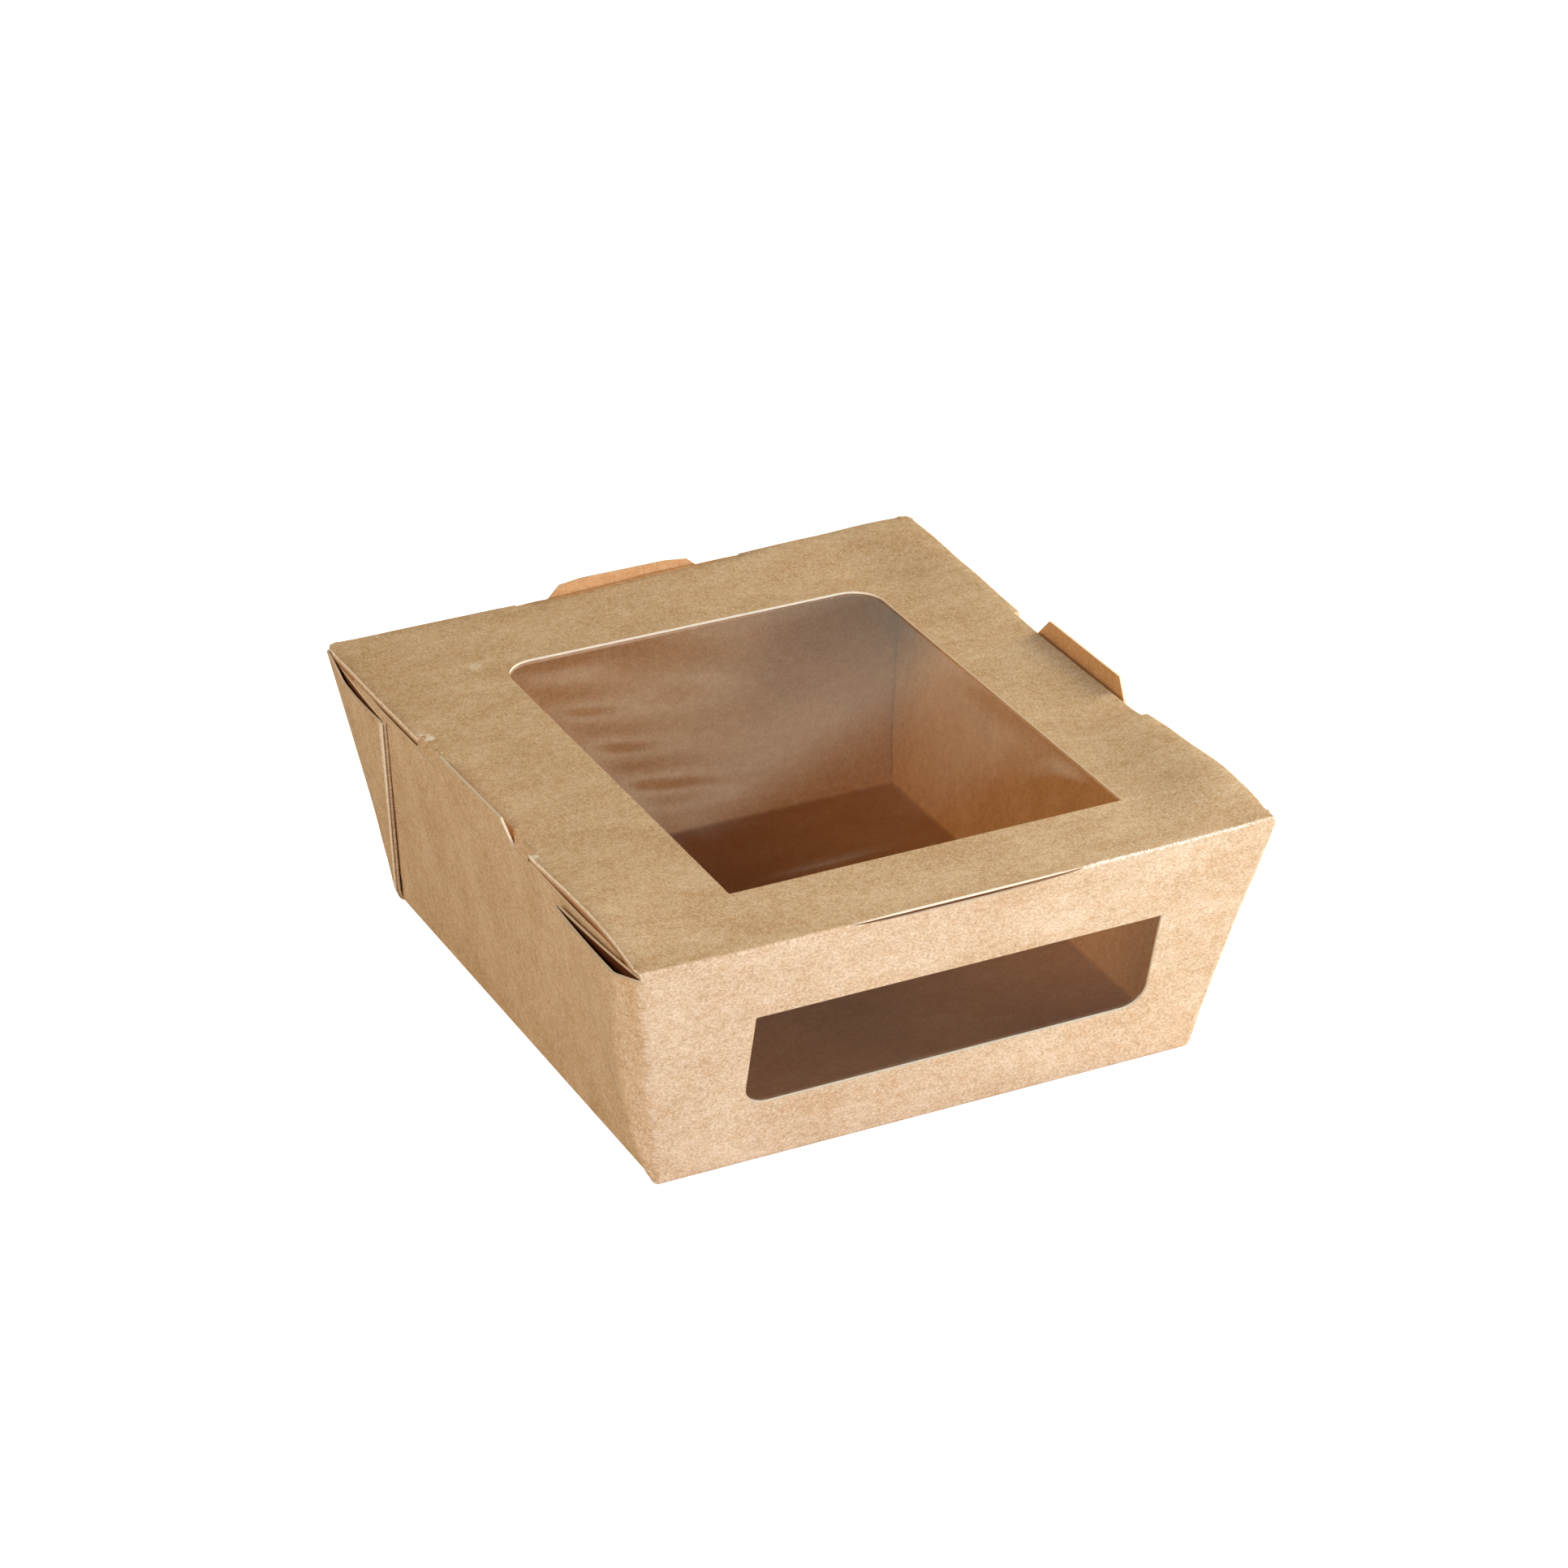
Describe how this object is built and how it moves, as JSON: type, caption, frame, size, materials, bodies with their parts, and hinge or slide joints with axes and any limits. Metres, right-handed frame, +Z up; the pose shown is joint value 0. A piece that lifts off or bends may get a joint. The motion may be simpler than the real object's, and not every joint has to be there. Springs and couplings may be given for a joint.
{
  "type": "takeaway box",
  "caption": "Folded kraft board takeaway box with tapered walls, folded corner webs, a hinged lid on the front crease and clear film windows in the lid and front.",
  "frame": {"origin": "middle of the underside of the base", "axes": "+X along the front panel to its right as seen from the front, +Y from the front panel to the back wall, +Z up"},
  "size_m": [0.1438, 0.1544, 0.0593],
  "materials": {
    "board": "matte",
    "film": "gloss"
  },
  "bodies": {
    "tray": {"tray": "board", "front_window_film": "film"},
    "lid": {"lid": "board", "lid_window_film": "film"}
  },
  "joints": [
    {"name": "lid_fold", "type": "hinge", "parent": "tray", "child": "lid", "pos_m": [0, -0.07635, 0.05605], "axis": [1, 0, 0], "range_deg": [0, 180]}
  ]
}
